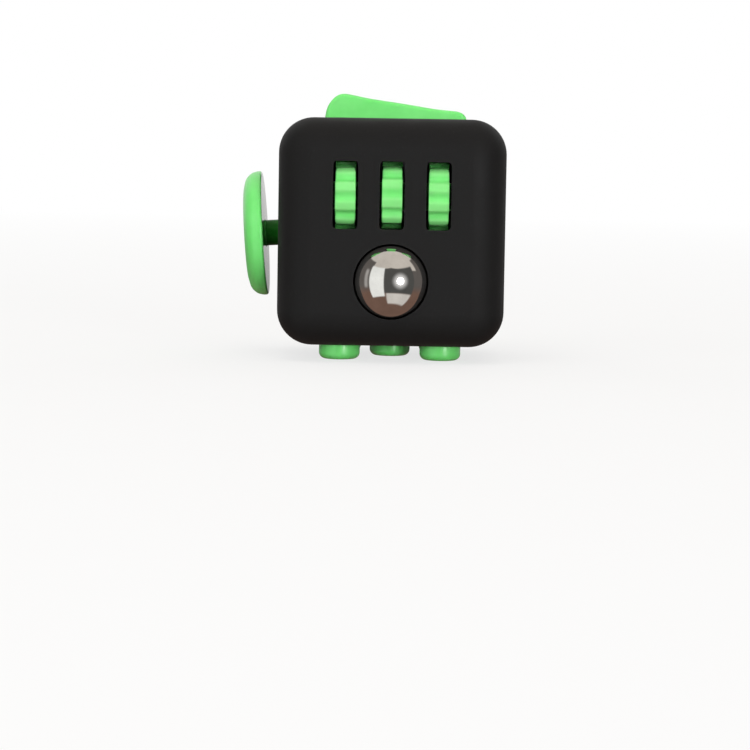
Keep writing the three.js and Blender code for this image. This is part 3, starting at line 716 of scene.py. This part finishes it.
def gears():
    for side, (x, phase) in GEARS.items():
        points = []
        for k in range(TEETH * TOOTH_STEPS):
            t = k / TOOTH_STEPS                     # in tooth pitches, whole on a crest
            q = min(max((abs(t - round(t)) - CREST) / FLANK, 0), 1)
            r = GEAR_R - (GEAR_R - GEAR_VALLEY) * q * q * (3 - 2 * q)
            a = 2 * math.pi * (t + 0.5) / TEETH + rad(phase) + math.pi
            points.append((GEAR_Y + r * math.cos(a), GEAR_Z - r * math.sin(a)))
        ob = prism("gear", points, "x", x - GEAR_W / 2, x + GEAR_W / 2, roll=0.2)
        profile = fillet([(0, x - HUB_HALF), (HUB_R, x - HUB_HALF, 0.2),
                          (HUB_R, x + HUB_HALF, 0.2), (0, x + HUB_HALF)], 3)
        boolean(ob, [lathe("hub", profile, "x", (0, GEAR_Y, GEAR_Z), 48)], "UNION")
        boolean(ob, [cylinder("x", BORE_R, x - 3, x + 3, (GEAR_Y, GEAR_Z), 40)], "DIFFERENCE")
        place(ob, f"gear_{side}", f"gear_{side}", "green_gear")


def ball():
    """A cube swollen to a sphere, its grid at equal angles."""
    bm = bmesh.new()
    bmesh.ops.create_cube(bm, size=2)
    bmesh.ops.subdivide_edges(bm, edges=bm.edges[:], cuts=27, use_grid_fill=True)
    for v in bm.verts:
        out = Vector([math.tan(c * math.pi / 4) for c in v.co]).normalized()
        v.co = out * BALL_R + Vector((0, BALL_Y, BALL_Z))
    place(from_bm("ball", bm), "steel_ball", "ball", "polished_steel", angle=80)


# ---------------------------------------------------------------- buttons ---

# Radius, height, corner radius: from the tip up the outside to the flange, then inside
BUTTON_PROFILE = [
    (0, -CENTRE_Z), (1.2, -CENTRE_Z), (BUTTON_R, -CENTRE_Z + 0.10, 1.2),
    (BUTTON_R, -14.45, 0.1), (3.9, -14.45, 0.1), (4.6, -13.95, 0.2), (4.6, -12.5, 0.2),
    (3.3, -12.5, 0.15), (3.3, -13.35, 0.08), (2.5, -13.35, 0.08), (2.5, -12.5, 0.3),
    (1.4, -12.4, 0.1), (1.4, -12.1, 0.12), (0.6, -12.1), (0, -12.1)]


def buttons():
    for name, (x, y) in BUTTONS.items():
        ob = lathe("button", fillet(BUTTON_PROFILE, 8), "z", (x, y, 0))
        place(ob, f"button_{name}", f"button_{name}", "green_plastic")


# ----------------------------------------------------------------- rocker ---

# Side outline x, z in the rocker's own frame, from the raised end to the lowered one
ROCK_START = [(-10.16, 1.5), (-10.38, 1.58), (-10.48, 1.8)]
ROCK_CROWN = [
    (-10.48, 2.2), (-10.44, 3.1), (-10.28, 3.85), (-9.99, 4.5), (-9.5, 5.22), (-8.9, 5.7),
    (-8.1, 5.95), (-6.8, 5.95), (-5.15, 5.86), (-4.1, 5.83), (-1.9, 5.84), (0.5, 5.86),
    (3.0, 5.84), (4.7, 5.82), (6.3, 5.86), (7.6, 5.94), (8.6, 5.98), (9.3, 5.86),
    (9.8, 5.55), (10.12, 5.05), (10.27, 4.2), (ROCK_HALF, 3.0)]
ROCK_END = [(ROCK_HALF, 1.8), (ROCK_HALF - 0.1, 1.58), (ROCK_HALF - 0.32, 1.5)]
ROCK_WALL = 1.2
PIVOT_R, PIVOT_HALF = 2.2, 3.2


def rocker():
    outline = ROCK_START + spline(ROCK_CROWN, 5) + ROCK_END
    ob = prism("rocker", outline, "y", -ROCK_W, ROCK_W, roll=0.62, steps=7)
    half_x, half_y = ROCK_HALF - ROCK_WALL, ROCK_W - ROCK_WALL
    boolean(ob, [box(-half_x, half_x, -half_y, half_y, 0, 2.6)], "DIFFERENCE")
    # pivot barrel, its web up to the crown, and the stem below
    boolean(ob, [cylinder("y", PIVOT_R, -PIVOT_HALF, PIVOT_HALF),
                 box(-PIVOT_R, PIVOT_R, -PIVOT_HALF, PIVOT_HALF, 0, 3.2),
                 cylinder("z", PIVOT_R, -5.0, 0.5)], "UNION")
    boolean(ob, [cylinder("y", 0.95, -6, 6, segs=32),
                 cylinder("z", 1.35, -6, -1.5, segs=32)], "DIFFERENCE")
    place(ob, "rocker", "rocker", "green_plastic", matrix=ROCK)


# --------------------------------------------------------------- joystick ---

# Radius, distance out from the pivot, corner radius: outer face, disc rim, stem
JOY_PROFILE = [
    (0, 7.8), (4.4, 7.86, 8), (6.5, 8.14, 2.5), (8.25, 7.7, 2.4), (9.02, 6.8, 1.6),
    (JOY_R, 5.95, 1.2), (JOY_R, 5.25, 0.35), (6.0, 5.21), (1.9, 5.2, 0.25), (1.9, 2.4, 0.1),
    (1.3, 2.1, 0.1), (1.3, -2.1, 0.15), (0, -2.1)]


def joystick():
    profile = [(r, -out) for r, out in fillet(JOY_PROFILE, 10)]
    ob = lathe("cap", profile, "x", segs=144)
    boolean(ob, [cylinder("x", 0.75, -4.2, 5, segs=24)], "DIFFERENCE")
    place(ob, "joystick_cap", "joystick", "green_stick", matrix=JOY)


# ------------------------------------------------------------------- dial ---

DIAL_SEGS, DIAL_RINGS = 128, 44
FACE_R, FACE_Y, FACE_RISE = DIAL_R - 1.5, 16.6, 0.5
DIMPLE_Z, DIMPLE_R, DIMPLE_DEPTH = 6.0, 2.35, 0.9
# Radius, y, corner radius: from the face's edge over the rim to the stem
DIAL_SIDE = [
    (FACE_R, 17.1), (DIAL_R - 0.9, 17.1, 0.5), (DIAL_R, 16.9, 0.45), (DIAL_R, 15.3, 0.25),
    (2.4, 15.3, 0.3), (2.4, 12.3, 0.3), (1.0, 12.3), (0, 12.3)]


def dial_face(x, z):
    """The y of the shallow bowl, with a finger dimple above its centre."""
    y = FACE_Y + FACE_RISE * (math.hypot(x, z) / FACE_R) ** 2
    d = math.hypot(x, z - DIMPLE_Z) / DIMPLE_R
    if d < 1:
        y -= DIMPLE_DEPTH * (1 - d * d) ** 1.5
    return y


def dial():
    # radius, and the row's y where it is level
    stations = [(FACE_R * math.sqrt(k / DIAL_RINGS), None) for k in range(DIAL_RINGS + 1)]
    stations += fillet(DIAL_SIDE, 6)[1:]
    verts, rows = [], []
    for r, level in stations:
        first = len(verts)
        for k in range(DIAL_SEGS if r > 0 else 1):
            t = 2 * math.pi * k / DIAL_SEGS
            x, z = r * math.cos(t), r * math.sin(t)
            verts.append((x, dial_face(x, z) if level is None else level, z))
        rows.append(range(first, len(verts)))
    ob = from_faces("dial", verts, row_faces(rows, DIAL_SEGS))
    boolean(ob, [cylinder("y", 0.8, 12, 14.8, segs=24)], "DIFFERENCE")
    place(ob, "spin_dial", "dial", "green_plastic")


# ---------------------------------------------------------------- springs ---

# Fixed end along the axis, free length, travel
BUTTON_SPRING = (-10.23, 3.07, 1.2)
BALL_SPRING = (-3.1, 3.05, 1.0)
ROCK_SPRING = (-1.6, 1.85, 0.6)
DEAD_COIL = 0.55             # turns at each end that hardly climb


def coil(axis, radius, wire, spring, turns, centre=(0, 0)):
    """Compression spring with closed ends."""
    fixed, length, _ = spring
    count, sides, verts, faces = int(turns * 40), 12, [], []
    low, high = fixed - length + wire * 1.05, fixed - wire * 1.05
    for i in range(count + 1):
        s = i / count * turns
        u = min(max((s - DEAD_COIL) / (turns - 2 * DEAD_COIL), 0), 1)
        u = u * u * (3 - 2 * u) * 0.35 + u * 0.65
        cos, sin = math.cos(2 * math.pi * s), math.sin(2 * math.pi * s)
        middle = Vector((radius * cos, radius * sin, low + (high - low) * u))
        out = Vector((cos, sin, 0))
        for k in range(sides):
            w = 2 * math.pi * k / sides
            q = middle + wire * (math.cos(w) * out + math.sin(w) * Vector((0, 0, 1)))
            verts.append((q.x, q.y, q.z))
    for i in range(count):
        for k in range(sides):
            j = (k + 1) % sides
            faces.append((i * sides + k, i * sides + j,
                          (i + 1) * sides + j, (i + 1) * sides + k))
    faces.append(tuple(range(sides)))
    faces.append(tuple(range(count * sides, (count + 1) * sides)))
    shift = TO_XYZ[axis](*centre, 0)
    verts = [tuple(c + d for c, d in zip(TURN[axis](*v), shift)) for v in verts]
    return from_faces("coil", verts, faces)


def squeeze(ob):
    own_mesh(ob)


def springs():
    for name, (x, y) in BUTTONS.items():
        ob = coil("z", 2.95, 0.22, BUTTON_SPRING, 3.6, (x, y))
        place(ob, f"button_spring_{name}", "casing", "spring_steel")
        squeeze(ob)
    ob = coil("y", 2.1, 0.24, BALL_SPRING, 4.5, (0, BALL_Z))
    place(ob, "ball_spring", "casing", "spring_steel")
    squeeze(ob)
    ob = coil("z", 0.85, 0.13, ROCK_SPRING, 5.2)
    place(ob, "rocker_spring", "rocker", "spring_steel", matrix=ROCK)
    squeeze(ob)


casing()
cover()
gears()
ball()
buttons()
rocker()
joystick()
dial()
springs()

# the inner pieces keep their frame shapes, with their own finishes
slots = {s["node"]: s["material_slot"] for s in frame["record"]["subparts"]}
for name, node in frame["nodes"].items():
    node.data.materials.clear()
    node.data.materials.append(MATERIALS[slots[name]])

# ------------------------------------------------------------------- floor --


def floor_material():
    """Pale to the camera and brighter with distance, darker to all other rays."""
    f = Finish("pale_floor")
    where = f.add("ShaderNodeNewGeometry").outputs["Position"]
    away = f.add("ShaderNodeVectorMath", {0: where}, operation="LENGTH").outputs["Value"]
    seen = f.add("ShaderNodeLightPath").outputs["Is Camera Ray"]
    tone = f.mix(f.noise(scale=60, rough=0.5), (0.86, 0.86, 0.86), (0.885, 0.885, 0.885))
    f.set(Base_Color=f.mix(seen, (0.30, 0.29, 0.28), tone), Roughness=0.75,
          Specular_IOR_Level=0.1)
    glow = f.add("ShaderNodeEmission", {"Strength": 1.0})
    amount = f.math("MULTIPLY", seen, f.remap(away, src=(0.0, 0.7), to=(0.72, 1.0)))
    blend = f.add("ShaderNodeMixShader", {0: amount, 1: f.bsdf.outputs[0], 2: glow.outputs[0]})
    f.feed(f.out.inputs["Surface"], blend.outputs[0])
    return f.mat


def build_floor():
    bm = bmesh.new()
    bmesh.ops.create_grid(bm, x_segments=1, y_segments=1, size=4.0,
                          matrix=Matrix.Translation((0, 0, -0.00002)))
    floor = from_bm("floor", bm)
    floor.visible_glossy = False     # shiny pieces mirror the studio below the horizon
    floor.data.materials.append(floor_material())


build_floor()

# ------------------------------------------------------------------ studio --

scene = bpy.context.scene
scene.view_settings.view_transform = "Standard"
scene.view_settings.look = "None"


class Studio(Graph):
    """The lit room as bearings round the cube, in degrees: azimuth 0 at the camera,
    positive to its right. The camera itself sees plain white."""

    def __init__(self, world):
        world.use_nodes = True
        super().__init__(world.node_tree)
        out = self.add("ShaderNodeOutputWorld")
        path = self.add("ShaderNodeLightPath")
        seen = self.add("ShaderNodeBackground", {0: (1, 1, 1)})
        self.lit = self.add("ShaderNodeBackground", {1: 1.0})
        blend = self.add("ShaderNodeMixShader", {
            0: path.outputs["Is Camera Ray"], 1: self.lit.outputs[0], 2: seen.outputs[0]})
        self.feed(out.inputs[0], blend.outputs[0])
        bearing = self.add("ShaderNodeTexCoord").outputs["Generated"]
        x, y, z = self.add("ShaderNodeSeparateXYZ", {0: bearing}).outputs
        self.az = self.math("ARCTAN2", x, self.math("MULTIPLY", y, -1.0))
        self.el = self.math("ARCSINE", z)
        self.colour = None

    def step(self, value, start, end):
        """Smooth rise from 0 at start to 1 at end."""
        return self.remap(value, src=(rad(start), rad(end)), kind="SMOOTHSTEP")

    def band(self, value, span, soft):
        low, high = span
        return self.math("MULTIPLY", self.step(value, low - soft / 2, low + soft / 2),
                         self.step(value, high + soft / 2, high - soft / 2))

    def window(self, az, el, soft):
        return self.math("MULTIPLY", self.band(self.az, az, soft),
                         self.band(self.el, el, soft))

    def disc(self, az, el, inner, outer):
        from_az = self.math("SUBTRACT", self.az, rad(az))
        from_el = self.math("SUBTRACT", self.el, rad(el))
        return self.step(self.length(from_az, from_el), outer, inner)

    def put(self, mask, colour, power=1.0):
        """Lays a colour over what is there."""
        self.colour = self.mix(mask, self.colour, tuple(c * power for c in colour))


def build_studio():
    world = bpy.data.worlds.new("studio")
    scene.world = world
    room = Studio(world)
    # the dim sides of the room
    room.put(1.0, (0.17, 0.155, 0.145))
    # below: warm and dark
    room.put(room.step(room.el, start=-8, end=-30), (0.24, 0.145, 0.11))
    # white backdrop behind the cube
    side = room.math("ABSOLUTE", room.az)
    back = room.step(side, start=100, end=125)
    room.put(room.math("MULTIPLY", back, room.step(room.el, start=-6, end=2)),
             (0.92, 0.92, 0.92))
    # ceiling
    room.put(room.step(room.el, start=46, end=50), (0.84, 0.79, 0.73))
    # upper wall, its lower edge dropping to either side
    side = room.math("ABSOLUTE", room.az)
    brow = room.math("ADD", room.el, room.math("MULTIPLY", side, 0.2))
    wall = room.math("MULTIPLY", room.step(room.az, start=-62, end=-56),
                     room.step(room.az, start=84, end=78))
    room.put(room.math("MULTIPLY", room.step(brow, start=37, end=41), wall),
             (0.86, 0.80, 0.73))
    # light patch low on the right
    room.put(room.window(az=(-14, 66), el=(-63, -31), soft=8), (0.92, 0.88, 0.83))
    # strip beside the softbox
    room.put(room.window(az=(-78, -68), el=(-14, 26), soft=8), (0.55, 0.53, 0.51))
    # softbox
    room.put(room.window(az=(-62, -19), el=(-40, 37), soft=5), (1.0, 1.02, 1.0), power=1.3)
    # dark behind the camera
    room.put(room.window(az=(-19, 68), el=(-31, 36), soft=5), (0.12, 0.12, 0.115))
    # lamp: its halo, then its bright disc
    room.put(room.disc(az=27, el=2, inner=4, outer=27), (1.0, 1.0, 1.0), power=1.3)
    room.put(room.disc(az=27, el=2, inner=5.5, outer=10.5), (1.0, 1.0, 1.0), power=30.0)
    room.feed(room.lit.inputs[0], room.colour)


build_studio()
CENTRE = Vector((0, 0, CENTRE_Z * MM))


def area(name, at, size, power):
    """An area light aimed at the cube's centre, hidden from camera and reflections."""
    light = bpy.data.lights.new(name, "AREA")
    light.shape = "RECTANGLE"
    light.size, light.size_y = size
    light.energy = power
    light.spread = rad(180)
    ob = linked(name, light)
    ob.location = at
    ob.rotation_mode = "QUATERNION"
    ob.rotation_quaternion = (CENTRE - Vector(at)).to_track_quat("-Z", "Y")
    ob.visible_camera = False
    ob.visible_glossy = False


area("overhead", at=(-0.10, -0.35, 0.80), size=(0.5, 0.4), power=1.0)
area("front_fill", at=(-0.14, -0.62, 0.04), size=(0.3, 0.3), power=1.0)
area("left_fill", at=(-0.55, -0.30, 0.05), size=(0.3, 0.25), power=0.35)

# ------------------------------------------------------------------ camera --

SENSOR, LENS = 36, 128.304        # millimetres
CENTRE_AT = (0.7968, 6.9696)      # cube centre in the view: mm of sensor right of and above middle
DISTANCE, ELEVATION, ROLL = 0.400, 2.0, 0.95      # metres, degrees, degrees


def camera():
    cam = linked("camera", bpy.data.cameras.new("camera"))
    scene.camera = cam
    cam.data.sensor_width = SENSOR
    cam.data.lens = LENS
    cam.data.clip_start = 0.01
    cam.data.clip_end = 20
    away = Vector((0, -math.cos(rad(ELEVATION)), math.sin(rad(ELEVATION))))
    look = (-away).to_track_quat("-Z", "Y").to_matrix()
    spot = Vector((CENTRE_AT[0] / LENS, CENTRE_AT[1] / LENS, -1)).normalized()
    turn = Vector((0, 0, -1)).rotation_difference(spot).to_matrix()
    rotation = look @ Matrix.Rotation(rad(ROLL), 3, "Z") @ turn.inverted()
    cam.matrix_world = Matrix.Translation(CENTRE + away * DISTANCE) @ rotation.to_4x4()


camera()
